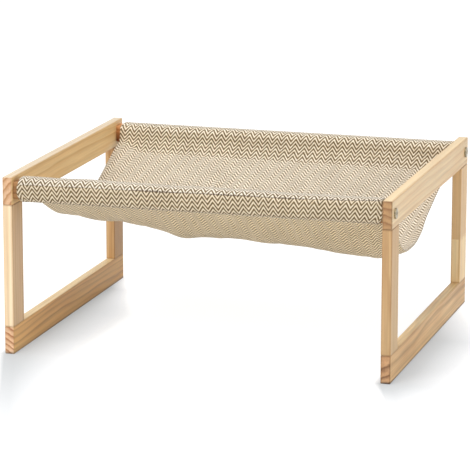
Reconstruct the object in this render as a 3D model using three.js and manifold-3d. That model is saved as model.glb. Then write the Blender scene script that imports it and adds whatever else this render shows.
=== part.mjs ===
// Cat hammock bed: two rectangular wooden end frames, joined by two square
// wooden crossbars, with a woven cloth slung between the bars.
// Millimetres, +Z up. The origin is on the floor, under the middle of the bed.
// +X runs along the crossbars, -Y is the front.
import * as THREE from 'three';
import { mergeVertices } from 'three/addons/utils/BufferGeometryUtils.js';
import Module from 'manifold-3d';

// The whole bed
const overallLength = 560;
const overallDepth = 480;
const overallHeight = 255;

// The end frames, sawn from one board thickness
const boardThickness = 14;
const railHeight = 40;
const postWidth = 42;
const arrisRadius = 1.5;
const arrisSteps = 2;

// The pins that hold each post to its rails
const pinDiameter = 6;
const pinInPost = 16;
const pinInRail = 13;
const pinSpacing = 22;
const pinChamfer = 0.8;

// The crossbars
const barSide = 25;
const barCornerRadius = 4;
const barSetback = 17;

// The bolt through each top rail, and the threaded insert in the bar's end
const boltDiameter = 6;
const boltLength = 50;
const boltHeadDiameter = 15;
const boltHeadHeight = 2.4;
const boltHeadChamfer = 0.7;
const socketAcrossFlats = 5;
const socketDepth = 1.7;
const boltTipRoom = 3;
const insertDiameter = 10;
const insertLength = 18;
const insertInset = 0.6;

// Room around everything that sits in a bore
const fitGap = 0.3;
const boltHolePlay = 0.5;
const overrun = 2;

// The cloth: its thickness, its room around the bars, and its two free ends
const clothThickness = 3;
const clothGap = 0.4;
const clothLeftGap = 7;
const clothRightGap = 0.8;
const tunnelCornerRadius = 7;
const frontTunnelFullness = 3.4;
const clothExitDrop = 12;
const clothExitReach = 2;
const sagDepth = 90;
const lowLineLeft = 12;
const lowLineRight = -48;
const foldDepth = 5;

// How deep the cloth hangs along X: place along the cloth, share of the sag
const sagShares = [
  [0, 0.62], [0.1, 0.675], [0.18, 0.678], [0.29, 0.765], [0.34, 0.812], [0.39, 0.84],
  [0.43, 0.835], [0.49, 0.815], [0.55, 0.812], [0.62, 0.83], [0.7, 0.848], [0.77, 0.865],
  [0.82, 0.885], [0.88, 0.935], [0.93, 0.945], [0.97, 0.87], [1, 0.785],
];
// Cross-sections along the cloth, and points across each sag
const stationShares = [0, 0.04, 0.11, 0.2, 0.3, 0.36, 0.42, 0.53, 0.64, 0.75, 0.85, 0.92, 0.965, 1];
const acrossShares = [
  0, 0.05, 0.11, 0.18, 0.25, 0.32, 0.39, 0.46, 0.53, 0.6, 0.68, 0.76, 0.84, 0.91, 0.96, 1,
];
// Folds across the cloth: place along X, half width, depth, all as shares
const foldShares = [[0.365, 0.035, 1], [0.13, 0.04, 0.45], [0.6, 0.05, 0.4], [0.81, 0.04, 0.55]];
// The flat middle and the S bend of each side of the sag, left end and right end
const frontFlatShares = [0.3, 0.3];
const frontBendShares = [0.75, 0.6];
const rearFlatShares = [0.16, 0.07];
const rearBendShares = [0.3, 0.05];
const softShare = 0.1;

// Rounding of the small parts
const boreSides = 24;
const pinSides = 16;
const barCornerSteps = 3;
const tunnelCornerSteps = 3;

// Places that several parts share
const frameInnerX = overallLength / 2 - boardThickness;
const boardCentreX = overallLength / 2 - boardThickness / 2;
const postCentreY = overallDepth / 2 - postWidth / 2;
const topRailBottom = overallHeight - railHeight;
// The crossbars and their bolts lie at the middle of the top rails' height
const barDrop = railHeight / 2;
const barCentreY = overallDepth / 2 - barSetback;
const barCentreZ = overallHeight - barDrop;

const pine = { color: '#dcbb8a', roughness: 0.55, metalness: 0 };
const paleWood = { color: '#e6cfa4', roughness: 0.6, metalness: 0 };
const herringboneCloth = { color: '#cdb996', roughness: 0.9, metalness: 0 };
const brightSteel = { color: '#c9ccd0', roughness: 0.25, metalness: 1 };
const zincSteel = { color: '#b9b48c', roughness: 0.35, metalness: 1 };

const wasm = await Module();
wasm.setup();

// Turns of the axes, written as exact permutations, so that flat faces stay exact
// The first takes Y to X and Z to Y, the second takes Y to Z and Z to X
const turnBack = new THREE.Matrix4().set(0, 1, 0, 0, 0, 0, 1, 0, 1, 0, 0, 0, 0, 0, 0, 1);
const turnOn = new THREE.Matrix4().set(0, 0, 1, 0, 1, 0, 0, 0, 0, 1, 0, 0, 0, 0, 0, 1);
const halfTurnZ = new THREE.Matrix4().set(-1, 0, 0, 0, 0, -1, 0, 0, 0, 0, 1, 0, 0, 0, 0, 1);

// A closed geometry as a solid that can be joined and cut
function toSolid(geometry) {
  const plain = geometry.clone();
  plain.deleteAttribute('normal');
  plain.deleteAttribute('uv');
  const merged = mergeVertices(plain);
  return new wasm.Manifold(new wasm.Mesh({
    numProp: 3,
    vertProperties: new Float32Array(merged.attributes.position.array),
    triVerts: new Uint32Array(merged.index.array),
  }));
}

function fromSolid(solid) {
  const mesh = solid.getMesh();
  const geometry = new THREE.BufferGeometry();
  const count = mesh.vertProperties.length / mesh.numProp;
  const positions = new Float32Array(count * 3);
  for (let i = 0; i < count; i += 1) {
    for (let k = 0; k < 3; k += 1) positions[i * 3 + k] = mesh.vertProperties[i * mesh.numProp + k];
  }
  geometry.setAttribute('position', new THREE.BufferAttribute(positions, 3));
  geometry.setIndex(new THREE.BufferAttribute(new Uint32Array(mesh.triVerts), 1));
  geometry.computeVertexNormals();
  return geometry;
}

// A geometry with others cut out of it
function cut(geometry, tools) {
  let solid = toSolid(geometry);
  for (const tool of tools) solid = solid.subtract(toSolid(tool));
  return fromSolid(solid);
}

// A rectangle with rounded corners, centred, as a list of points
function roundedPoints(width, height, radius, steps) {
  const points = [];
  const corners = [[1, 1, 0], [-1, 1, 1], [-1, -1, 2], [1, -1, 3]];
  for (const [sx, sy, quarter] of corners) {
    for (let i = 0; i <= steps; i += 1) {
      const angle = (quarter + i / steps) * Math.PI / 2;
      const x = sx * (width / 2 - radius) + radius * Math.cos(angle);
      const y = sy * (height / 2 - radius) + radius * Math.sin(angle);
      points.push(new THREE.Vector2(x, y));
    }
  }
  return points;
}

// A board with eased long edges, centred on the origin, its length along Z
function board(width, height, length, easeEnds) {
  const bevel = easeEnds ? arrisRadius : 0;
  const inset = easeEnds ? arrisRadius : 0;
  const shape = new THREE.Shape(roundedPoints(
    width - 2 * inset, height - 2 * inset, easeEnds ? arrisRadius / 2 : arrisRadius, arrisSteps));
  const geometry = new THREE.ExtrudeGeometry(shape, {
    depth: length - 2 * bevel,
    bevelEnabled: easeEnds,
    bevelThickness: bevel,
    bevelSize: inset,
    bevelSegments: arrisSteps,
    steps: 1,
  });
  return geometry.translate(0, 0, bevel - length / 2);
}

// A straight bore along Z, centred on the origin
function boreAlongZ(radius, length) {
  return new THREE.CylinderGeometry(radius, radius, length, boreSides).applyMatrix4(turnOn);
}

function boreAlongX(radius, length) {
  return new THREE.CylinderGeometry(radius, radius, length, boreSides).applyMatrix4(turnBack);
}

const bed = new THREE.Group();

function addPiece(parent, name, geometry, look, x, y, z) {
  const mesh = new THREE.Mesh(geometry, new THREE.MeshStandardMaterial(look));
  mesh.name = name;
  mesh.position.set(x, y, z);
  parent.add(mesh);
}

// The bores for the two pins in one end of a post or at one place on a rail
function pinBores(centreY, faceZ, depth, upward) {
  const length = depth + fitGap + overrun;
  const centreZ = upward ? faceZ + length / 2 - overrun : faceZ - length / 2 + overrun;
  return [-1, 1].map((side) => boreAlongZ(pinDiameter / 2 + fitGap, length)
    .translate(0, centreY + side * pinSpacing / 2, centreZ));
}

// Rails, cut for the pins and, in a top rail, for the bolts
function railGeometry(isTop) {
  const plain = board(railHeight, boardThickness, overallDepth, true);
  // Width lies along Z and thickness along X once the length runs along Y
  plain.applyMatrix4(turnBack);
  const faceZ = isTop ? -railHeight / 2 : railHeight / 2;
  const tools = [];
  for (const side of [-1, 1]) {
    tools.push(...pinBores(side * postCentreY, faceZ, pinInRail, isTop));
    if (isTop) {
      const bore = boreAlongX(boltDiameter / 2 + boltHolePlay, boardThickness + 2 * overrun);
      tools.push(bore.translate(0, side * barCentreY, railHeight / 2 - barDrop));
    }
  }
  return cut(plain, tools);
}

function postGeometry() {
  const length = topRailBottom - railHeight;
  const plain = board(boardThickness, postWidth, length, false);
  const tools = [
    ...pinBores(0, -length / 2, pinInPost, true),
    ...pinBores(0, length / 2, pinInPost, false),
  ];
  return cut(plain, tools);
}

// A fluted pin is drawn plain, with a chamfer at each end
function pinGeometry() {
  const r = pinDiameter / 2;
  const half = (pinInPost + pinInRail) / 2;
  const profile = [
    new THREE.Vector2(0, -half),
    new THREE.Vector2(r - pinChamfer, -half),
    new THREE.Vector2(r, -half + pinChamfer),
    new THREE.Vector2(r, half - pinChamfer),
    new THREE.Vector2(r - pinChamfer, half),
    new THREE.Vector2(0, half),
  ];
  return new THREE.LatheGeometry(profile, pinSides).applyMatrix4(turnOn);
}

function addEndFrame(label, sideX) {
  const frame = new THREE.Group();
  frame.position.set(sideX * boardCentreX, 0, 0);
  bed.add(frame);
  addPiece(frame, `${label}_bottom_rail`, railGeometry(false), pine, 0, 0, railHeight / 2);
  addPiece(frame, `${label}_top_rail`, railGeometry(true), pine, 0, 0, overallHeight - railHeight / 2);
  for (const [end, sideY] of [['front', -1], ['rear', 1]]) {
    const postZ = (railHeight + topRailBottom) / 2;
    addPiece(frame, `${label}_${end}_post`, postGeometry(), pine, 0, sideY * postCentreY, postZ);
    const pinShift = (pinInRail - pinInPost) / 2;
    const levels = [['lower', railHeight - pinShift], ['upper', topRailBottom + pinShift]];
    for (const [level, z] of levels) {
      for (const [place, sidePin] of [['a', -1], ['b', 1]]) {
        const y = sideY * postCentreY + sidePin * pinSpacing / 2;
        addPiece(frame, `${label}_${end}_${level}_pin_${place}`, pinGeometry(), paleWood, 0, y, z);
      }
    }
  }
}

addEndFrame('left', -1);
addEndFrame('right', 1);

// The crossbars fit between the frames, bored at each end for insert and bolt
const barLength = 2 * frameInnerX;

function barGeometry() {
  const shape = new THREE.Shape(roundedPoints(barSide, barSide, barCornerRadius, barCornerSteps));
  const plain = new THREE.ExtrudeGeometry(shape, { depth: barLength, bevelEnabled: false, steps: 1 });
  plain.translate(0, 0, -barLength / 2).applyMatrix4(turnOn);
  const insertBore = insertInset + insertLength + fitGap;
  const tipBore = boltLength - boardThickness + boltTipRoom;
  const tools = [];
  for (const side of [-1, 1]) {
    const wide = boreAlongX(insertDiameter / 2 + fitGap, insertBore + overrun);
    const narrow = boreAlongX(boltDiameter / 2 + boltHolePlay, tipBore + overrun);
    tools.push(wide.translate(side * (barLength / 2 - (insertBore - overrun) / 2), 0, 0));
    tools.push(narrow.translate(side * (barLength / 2 - (tipBore - overrun) / 2), 0, 0));
  }
  return cut(plain, tools);
}

// A flat-headed bolt along X: the underside of its head is at the origin
function boltGeometry() {
  const shank = boltDiameter / 2;
  const head = boltHeadDiameter / 2;
  const profile = [
    new THREE.Vector2(0, -boltLength),
    new THREE.Vector2(shank - boltHeadChamfer, -boltLength),
    new THREE.Vector2(shank, -boltLength + boltHeadChamfer),
    new THREE.Vector2(shank, 0),
    new THREE.Vector2(head, 0),
    new THREE.Vector2(head, boltHeadHeight - boltHeadChamfer),
    new THREE.Vector2(head - boltHeadChamfer, boltHeadHeight),
    new THREE.Vector2(0, boltHeadHeight),
  ];
  const plain = new THREE.LatheGeometry(profile, boreSides).applyMatrix4(turnBack);
  const cornerRadius = socketAcrossFlats / Math.sqrt(3);
  const socket = new THREE.CylinderGeometry(cornerRadius, cornerRadius, socketDepth + overrun, 6)
    .applyMatrix4(turnBack)
    .translate(boltHeadHeight - socketDepth + (socketDepth + overrun) / 2, 0, 0);
  return cut(plain, [socket]);
}

// The threaded insert is a plain sleeve, with its outer end at the origin
function insertGeometry() {
  const outer = insertDiameter / 2;
  const inner = boltDiameter / 2 + fitGap;
  const profile = [
    new THREE.Vector2(inner, -insertLength),
    new THREE.Vector2(outer, -insertLength),
    new THREE.Vector2(outer, 0),
    new THREE.Vector2(inner, 0),
    new THREE.Vector2(inner, -insertLength),
  ];
  return new THREE.LatheGeometry(profile, boreSides).applyMatrix4(turnBack);
}

for (const [end, sideY] of [['front', -1], ['rear', 1]]) {
  addPiece(bed, `${end}_crossbar`, barGeometry(), paleWood, 0, sideY * barCentreY, barCentreZ);
  for (const [label, sideX] of [['left', -1], ['right', 1]]) {
    const bolt = boltGeometry();
    const insert = insertGeometry();
    if (sideX < 0) {
      bolt.applyMatrix4(halfTurnZ);
      insert.applyMatrix4(halfTurnZ);
    }
    const y = sideY * barCentreY;
    addPiece(bed, `${label}_${end}_bolt`, bolt, brightSteel, sideX * overallLength / 2, y, barCentreZ);
    const insertX = sideX * (frameInnerX - insertInset);
    addPiece(bed, `${label}_${end}_insert`, insert, zincSteel, insertX, y, barCentreZ);
  }
}

// Straight interpolation between the rows of a table of shares
function tableValue(rows, share) {
  for (let i = 1; i < rows.length; i += 1) {
    if (share <= rows[i][0]) {
      const t = (share - rows[i - 1][0]) / (rows[i][0] - rows[i - 1][0]);
      return rows[i - 1][1] + (rows[i][1] - rows[i - 1][1]) * t;
    }
  }
  return rows[rows.length - 1][1];
}

function between(pair, share) {
  return pair[0] + (pair[1] - pair[0]) * share;
}

// One side of the sag, from 0 at the low line to 1 at the bar: a soft flat
// middle, then a run that is part straight and part S-shaped
function sideRise(u, flat, bend) {
  const soft = (v) => (v - flat + Math.sqrt((v - flat) ** 2 + softShare ** 2)) / 2;
  const v = (soft(u) - soft(0)) / (soft(1) - soft(0));
  return (1 - bend) * v + bend * v * v * (3 - 2 * v);
}

const tunnelHalf = barSide / 2 + clothGap + clothThickness;
const exitY = barCentreY - tunnelHalf - clothExitReach;
const exitZ = barCentreZ - clothExitDrop;

// The middle of the cloth's thickness, at a share along X and a place in Y
function sagHeight(share, y) {
  const lowLine = between([lowLineLeft, lowLineRight], share);
  const isRear = y > lowLine;
  const reach = isRear ? exitY - lowLine : lowLine + exitY;
  const u = Math.abs(y - lowLine) / reach;
  const flat = between(isRear ? rearFlatShares : frontFlatShares, share);
  const bend = between(isRear ? rearBendShares : frontBendShares, share);
  const depth = sagDepth * tableValue(sagShares, share);
  let z = exitZ - depth * (1 - sideRise(u, flat, bend));
  for (const [place, width, size] of foldShares) {
    z -= foldDepth * size * Math.exp(-(((share - place) / width) ** 2)) * (1 - u * u);
  }
  return z;
}

// The outside of a tunnel, for the front bar, as seen with +Y to the right:
// it starts under the bar at the rear, goes round the front, and ends behind
function tunnelOutside(fullness) {
  const points = [];
  const straight = tunnelHalf - tunnelCornerRadius;
  points.push([straight, -tunnelHalf]);
  for (const [sy, sz, start] of [[-1, -1, 3], [-1, 1, 2], [1, 1, 1]]) {
    for (let i = 0; i <= tunnelCornerSteps; i += 1) {
      const angle = (start - i / tunnelCornerSteps) * Math.PI / 2;
      const y = sy * straight + tunnelCornerRadius * Math.cos(angle);
      let z = sz * straight + tunnelCornerRadius * Math.sin(angle);
      if (z > 0) z += fullness * (z / tunnelHalf) ** 2;
      points.push([y, z]);
    }
  }
  points.push([tunnelHalf, -straight]);
  return points;
}

// The closed outline of the cloth at one station, and the holes of its tunnels
function clothSection(share) {
  const outline = [];
  for (const [y, z] of tunnelOutside(frontTunnelFullness)) {
    outline.push([y - barCentreY, z + barCentreZ]);
  }
  const upper = [];
  const lower = [];
  for (const across of acrossShares) {
    const y = -exitY + 2 * exitY * across;
    const step = clothThickness / 4;
    const slope = (sagHeight(share, y + step) - sagHeight(share, y - step)) / (2 * step);
    const shift = clothThickness / 2 / Math.sqrt(1 + slope * slope);
    const z = sagHeight(share, y);
    upper.push([y - slope * shift, z + shift]);
    lower.push([y + slope * shift, z - shift]);
  }
  outline.push(...upper);
  const rear = tunnelOutside(0).map(([y, z]) => [barCentreY - y, z + barCentreZ]);
  outline.push(...rear.reverse());
  outline.push(...lower.reverse());
  const holeSide = barSide + 2 * clothGap;
  const holes = [-1, 1].map((side) => roundedPoints(
    holeSide, holeSide, barCornerRadius + clothGap, barCornerSteps - 1)
    .map((p) => [p.x + side * barCentreY, p.y + barCentreZ]));
  return { outline, holes };
}

function clothGeometry() {
  const left = -frameInnerX + clothLeftGap;
  const right = frameInnerX - clothRightGap;
  const sections = stationShares.map(clothSection);
  const positions = [];
  const rings = [];
  for (const [i, share] of stationShares.entries()) {
    const x = left + (right - left) * share;
    const loops = [sections[i].outline, ...sections[i].holes];
    rings.push(loops.map((loop) => loop.map(([y, z]) => {
      positions.push(x, y, z);
      return positions.length / 3 - 1;
    })));
  }
  const index = [];
  for (let i = 1; i < rings.length; i += 1) {
    for (let k = 0; k < rings[i].length; k += 1) {
      const a = rings[i - 1][k];
      const b = rings[i][k];
      for (let j = 0; j < a.length; j += 1) {
        const n = (j + 1) % a.length;
        index.push(a[j], b[j], a[n], a[n], b[j], b[n]);
      }
    }
  }
  for (const [i, flip] of [[0, true], [rings.length - 1, false]]) {
    const toVectors = (loop) => loop.map(([y, z]) => new THREE.Vector2(y, z));
    const contour = toVectors(sections[i].outline);
    const holes = sections[i].holes.map(toVectors);
    const ids = rings[i].flat();
    for (const [a, b, c] of THREE.ShapeUtils.triangulateShape(contour, holes)) {
      if (flip) index.push(ids[a], ids[c], ids[b]);
      else index.push(ids[a], ids[b], ids[c]);
    }
  }
  const geometry = new THREE.BufferGeometry();
  geometry.setAttribute('position', new THREE.Float32BufferAttribute(positions, 3));
  geometry.setIndex(index);
  geometry.computeVertexNormals();
  return geometry;
}

addPiece(bed, 'hammock_cloth', clothGeometry(), herringboneCloth, 0, 0, 0);

export default bed;
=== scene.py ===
# %% [markdown]
# # A cat hammock bed, dressed for a studio photograph
# The bed is a sling of herringbone cloth, hung between two low end frames
# of pine. Each end frame is two rails and two posts, and two square
# crossbars join the frames and carry the cloth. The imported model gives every
# solid its place, so this lesson only gives each piece its finer shape and
# its finish.

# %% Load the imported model
import math
from functools import partial

import bpy
import numpy as np
from mathutils import Matrix, Vector


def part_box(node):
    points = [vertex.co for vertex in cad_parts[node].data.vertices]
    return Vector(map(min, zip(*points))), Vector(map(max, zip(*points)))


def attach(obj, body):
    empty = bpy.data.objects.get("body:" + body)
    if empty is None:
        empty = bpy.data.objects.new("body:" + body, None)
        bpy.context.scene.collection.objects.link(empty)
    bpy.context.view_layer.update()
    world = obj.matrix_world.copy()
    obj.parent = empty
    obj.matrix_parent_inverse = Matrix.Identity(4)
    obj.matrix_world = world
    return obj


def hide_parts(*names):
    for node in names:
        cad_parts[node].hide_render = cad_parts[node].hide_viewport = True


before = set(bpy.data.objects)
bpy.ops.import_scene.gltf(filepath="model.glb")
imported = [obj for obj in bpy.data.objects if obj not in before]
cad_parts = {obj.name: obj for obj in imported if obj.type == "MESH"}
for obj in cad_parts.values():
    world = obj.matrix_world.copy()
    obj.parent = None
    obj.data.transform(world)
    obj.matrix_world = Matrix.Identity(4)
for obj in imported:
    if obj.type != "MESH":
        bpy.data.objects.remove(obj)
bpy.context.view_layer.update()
MM = 0.001
print("solids:", len(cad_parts))

# %% [markdown]
# The camera comes first, because every comparison depends on it. It stands
# low in front of the bed, a little to the right, and a long lens keeps the
# frames nearly parallel. Its place was worked out from the corners of the
# frames, whose real sizes are known.

# %% Camera
CAMERA_PLACE = (1.16831, -3.95713, 1.0732)
CAMERA_ROUND = math.radians(16.611)
CAMERA_DOWN = math.radians(12.766)
CAMERA_ROLL = math.radians(0.053)

camera_data = bpy.data.cameras.new("camera")
camera_data.lens = 222.711
camera_data.sensor_width = 36
camera_data.clip_end = 60
camera = bpy.data.objects.new("camera", camera_data)
bpy.context.scene.collection.objects.link(camera)
turn = Matrix.Rotation(CAMERA_ROUND, 4, "Z")
tilt = Matrix.Rotation(math.pi / 2 - CAMERA_DOWN, 4, "X")
roll = Matrix.Rotation(CAMERA_ROLL, 4, "Z")
camera.matrix_world = Matrix.Translation(CAMERA_PLACE) @ turn @ tilt @ roll
bpy.context.scene.camera = camera
bpy.context.scene.view_settings.view_transform = "Standard"
print("camera distance in m:", round(Vector(CAMERA_PLACE).length, 3))

# %% [markdown]
# Materials are small networks of nodes. One helper turns a colour code, as a
# paint chart gives it, into the linear values that light needs, and one adds a
# node with its settings and links. The others are short steps that several
# materials share: clouds of tone, a tint over part of a surface, and the end
# of a network.

# %% Helpers for materials
WHITE = (1, 1, 1, 1)
# The setting that holds the main choice of each kind of node
CHOICES = {"Math": "operation", "VectorMath": "operation", "Mix": "data_type",
           "TexNoise": "noise_dimensions", "TexWhiteNoise": "noise_dimensions"}


def colour(code):
    """The linear colour of an sRGB code such as #e8cda0."""
    shares = [int(code[i:i + 2], 16) / 255 for i in (1, 3, 5)]
    linear = [s / 12.92 if s < 0.04045 else ((s + 0.055) / 1.055) ** 2.4 for s in shares]
    return (*linear, 1.0)


def add_node(tree, kind, *values, stops=(), **named):
    """A new node. Its kind may end with its main choice, as in "Math MULTIPLY".

    Values fill its sockets in their order, or by name with _ for a space. A value may be
    a node or one output of a node. Names in small letters are settings."""
    kind, _, choice = kind.partition(" ")
    made = tree.nodes.new("ShaderNode" + kind)
    if choice:
        setattr(made, CHOICES[kind], choice)
    filled = list(zip([socket for socket in made.inputs if socket.enabled], values))
    for name, value in named.items():
        if name.islower():
            setattr(made, name, value)
        else:
            filled.append((made.inputs[name.replace("_", " ")], value))
    for socket, value in filled:
        if isinstance(value, bpy.types.Node):
            value = next(output for output in value.outputs if output.enabled)
        if isinstance(value, bpy.types.NodeSocket):
            tree.links.new(value, socket)
        else:
            socket.default_value = value
    for k, (place, shade) in enumerate(stops):
        ramp = made.color_ramp.elements
        element = ramp[k] if k < len(ramp) else ramp.new(1.0)
        element.position = place
        element.color = (shade, shade, shade, 1) if isinstance(shade, float) else (*shade, 1)[:4]
    return made


def new_material(name):
    """An empty material, and the function that adds a node to it."""
    material = bpy.data.materials.new(name)
    material.use_nodes = True
    material.node_tree.nodes.clear()
    return material, partial(add_node, material.node_tree)


def end_with(add, height, distance, strength, **look):
    """Ends a network with a surface, whose relief is as deep as the distance, in m."""
    relief = add("Bump", Height=height, Distance=distance, Strength=strength)
    add("OutputMaterial", add("BsdfPrincipled", Normal=relief, **look))


def clouds(add, place, stretch, detail, roughness=0.5, **seed):
    """A cloudy pattern from 0 to 1, in a place that is stretched first."""
    return add("TexNoise 4D" if seed else "TexNoise 3D", add("Mapping", place, Scale=stretch),
               Scale=1.0, Detail=detail, Roughness=roughness, **seed)


def tinted(add, look, share, tint):
    """A colour, multiplied by a tint as far as the share goes."""
    return add("VectorMath MULTIPLY", look, add("Mix RGBA", share, WHITE, (*tint, 1)))


print("pine, as light sees it:", [round(v, 3) for v in colour("#e8cda0")[:3]])

# %% [markdown]
# The floor is a plain white sweep. Seen directly it glows, so that it comes out white. On the
# shadow side of each bottom rail the glow fades to grey, which paints the soft shadow of the frame
# there, over the weaker real shadow that the lamps cast. The fade is measured in the floor's own
# coordinates from the nearer rail: it reaches far to the right of the rail, less far in front of
# it and behind it, and hardly to its left.

# %% Floor and surroundings
RAIL_MIDDLE_X, RAIL_HALF_WIDTH, RAIL_HALF_LENGTH = 0.273, 0.007, 0.24
SHADOW_REACH, SHADOW_SLANT, LIT_SIDE_FADE = 0.09, 0.35, 8.0
# Of the left and the right painted shadow: how fast it fades in front, where its fade behind
# begins, how fast that is, and how fast it narrows towards the back
FRONT_FADE, BACK_START, BACK_FADE = (0.15, 0.7), (0.165, 0.01), (1.0, 0.45)
NARROWING = (60.0, 0.0)
# The greys of the painted shadow, from the rail outwards, up to the glow of the open floor
PAINTED_SHADOW_GLOW = [(0.0, (0.34, 0.36, 0.375)), (0.11, (0.37, 0.39, 0.405)), (0.22, (0.405, 0.425, 0.44)),
        (0.44, (0.52, 0.535, 0.55)), (0.67, (0.635, 0.645, 0.66)), (0.84, (0.735, 0.74, 0.745)),
        (1.0, (0.88, 0.88, 0.88))]


def by_rail(pair):
    """A value that differs between the left and the right half of the floor."""
    left, right = pair
    return add("Math MULTIPLY_ADD", half_of_floor, (right - left) / 2, (left + right) / 2)


def beyond(value, way, start):
    """How far a value lies past a start, one way or the other, and 0 before it."""
    return add("Math MAXIMUM", add("Math SUBTRACT", add("Math MULTIPLY", value, way), start), 0.0)


def seen_directly():
    """1 for what the camera sees, also in a mirror or through glass, and 0 for the light."""
    path = add("LightPath").outputs
    seen = add("Math ADD", path["Is Camera Ray"], path["Is Glossy Ray"])
    return add("Math ADD", seen, path["Is Transmission Ray"], use_clamp=True)


floor_material, add = new_material("white_floor_with_painted_shadow")
x, y = add("SeparateXYZ", add("TexCoord").outputs["Object"]).outputs[:2]
half_of_floor = add("Math SIGN", x)
past_rail = add("Math MULTIPLY_ADD", half_of_floor, -RAIL_MIDDLE_X, x)
in_front = beyond(y, -1, RAIL_HALF_LENGTH)
slanted = add("Math MULTIPLY_ADD", in_front, -SHADOW_SLANT, past_rail)
behind = beyond(y, 1, 0.0)
narrower = add("Math MULTIPLY", behind, behind)
narrower = add("Math MULTIPLY_ADD", narrower, by_rail(NARROWING), 1.0)
away = add("Math MULTIPLY", beyond(slanted, 1, RAIL_HALF_WIDTH), narrower)
for distance, fade in ((in_front, by_rail(FRONT_FADE)),
                       (beyond(y, 1, by_rail(BACK_START)), by_rail(BACK_FADE)),
                       (beyond(slanted, -1, RAIL_HALF_WIDTH), LIT_SIDE_FADE)):
    away = add("Math MULTIPLY_ADD", distance, fade, away)
away = add("Math DIVIDE", away, SHADOW_REACH, use_clamp=True)
# The glow paints the shadow beside the rails, and the dim diffuse part keeps the real one
glow_with_painted_shadow = add("Emission", add("ValToRGB", away, stops=PAINTED_SHADOW_GLOW), 1.0)
lit = add("AddShader", add("BsdfDiffuse", (0.3, 0.3, 0.3, 1)), glow_with_painted_shadow)
matt = add("BsdfDiffuse", (0.82, 0.82, 0.82, 1))
add("OutputMaterial", add("MixShader", seen_directly(), matt, lit))

# A hair below the bed, so that the two never lie in one plane
bpy.ops.mesh.primitive_plane_add(size=24, location=(0, 0, -0.0002))
floor = bpy.context.object
floor.name = "studio_floor"
floor.data.materials.append(floor_material)

world = bpy.data.worlds.new("studio")
bpy.context.scene.world = world
world.use_nodes = True
world.node_tree.nodes.clear()
add = partial(add_node, world.node_tree)
soft_sky = add("Background", WHITE, 0.6)
white_wall = add("Background", WHITE, 1.0)
add("OutputWorld", add("MixShader", seen_directly(), soft_sky, white_wall))
print("floor is", round(floor.dimensions.x), "m wide")

# %% [markdown]
# Soft lamps light the bed. The main one stands high in front and to the left,
# so it reaches both the front of the bed and the inside of the sling. A broad
# one hangs above, and a weaker one on the right lights the outer faces of the
# frame. The last points straight down at the floor in front of the bed, and
# the floor throws its light up against the underside of the sling.


# %% Lamps
def soft_lamp(name, place, aim, size, watts, spread=180):
    """A square lamp that faces the point it is aimed at. Spread is in degrees."""
    data = bpy.data.lights.new(name, "AREA")
    data.shape = "SQUARE"
    data.size = size
    data.energy = watts
    data.spread = math.radians(spread)
    lamp = bpy.data.objects.new(name, data)
    bpy.context.scene.collection.objects.link(lamp)
    lamp.location = place
    lamp.rotation_euler = (Vector(aim) - Vector(place)).to_track_quat("-Z", "Y").to_euler()


BED_MIDDLE = (0, 0, 0.15)
soft_lamp("main_lamp", (-0.9, -2.3, 2.3), BED_MIDDLE, 1.4, 33)
soft_lamp("overhead_lamp", (-0.3, 0.1, 2.6), BED_MIDDLE, 2.0, 27)
soft_lamp("right_lamp", (2.6, -0.9, 1.1), BED_MIDDLE, 1.4, 10)
soft_lamp("floor_lamp", (0.1, -1.15, 1.5), (0.1, -1.15, 0), 1.0, 4, spread=80)

# %% [markdown]
# The frames are radiata pine, planed, sanded and clear lacquered. A pine
# board is cut from a round trunk, so its pattern is a set of growth rings
# round a pith that runs along the board, often outside it. One solid pattern
# of rings then gives both the long lines on the faces and the arcs on the
# end of each board, as on the real wood. Each board has its own pith.

# %% Growth rings
# Wood darkens slowly to the end of a season, then starts pale again
SEASON = [(0.0, 0.3), (0.1, 0.05), (0.4, 0.15), (0.66, 0.55), (0.84, 1.0), (0.94, 0.8), (1.0, 0.3)]
RIPPLE = 0.14


def growth_rings(add, place, pith, ring, wander, seed):
    """The tone of the season at a place, and how vigorous its year was, both 0 to 1."""
    to_pith = add("VectorMath SUBTRACT", place, (*pith, 0))
    radius = add("VectorMath LENGTH", add("VectorMath MULTIPLY", to_pith, (1, 1, 0)))
    # The trunk was never quite straight, so the rings wander along the board
    slow = clouds(add, place, (0.018, 0.018, 0.0032), 1.5, W=seed)
    fine = clouds(add, place, (0.12, 0.12, 0.012), 2.0, W=seed)
    for bend, reach in ((slow, wander * ring), (fine, RIPPLE * ring)):
        radius = add("Math ADD", radius, add("MapRange", bend, 0.25, 0.75, -reach, reach))
    years = add("Math DIVIDE", radius, ring)
    vigour = add("TexWhiteNoise 1D", add("Math FLOOR", years))
    return add("ValToRGB", add("Math FRACT", years), stops=SEASON), vigour


print("a season has", len(SEASON), "tones")

# %% [markdown]
# On top of its rings, lacquered pine shows fine fibres, long streaks and broad clouds of tone. Use
# has left darker arrises. A painted shade darkens the edges that stand on the floor, the rims
# round the end grain and the face towards the bed, and the top face gets a painted tint of light
# and shade. One post was glued from two lengths with a finger joint, so the grain changes there.

# %% Pine
# Height of a finger joint above the middle of a post, and its fingers, in mm
JOINTS = {"right_rear_post": 102.0 - 127.5}
FINGER_PITCH, FINGER_LENGTH = 4.0, 9.0
# How far away in the trunk the upper length was, and its tone
OTHER_GRAIN, OTHER_TONE = (9.0, 31.0, 140.0), (0.82, 0.73, 0.66)
# How far the rings wander, in rings, the deepest clouds of tone, and the depth of the streaks
USUAL_FIGURE = (0.6, (1.0, 0.93, 0.86), 0.1)
FIGURES = {"right_bottom_rail": (1.0, (0.8, 0.68, 0.55), 0.18),
           "left_bottom_rail": (0.9, (0.92, 0.83, 0.72), 0.12)}
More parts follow.
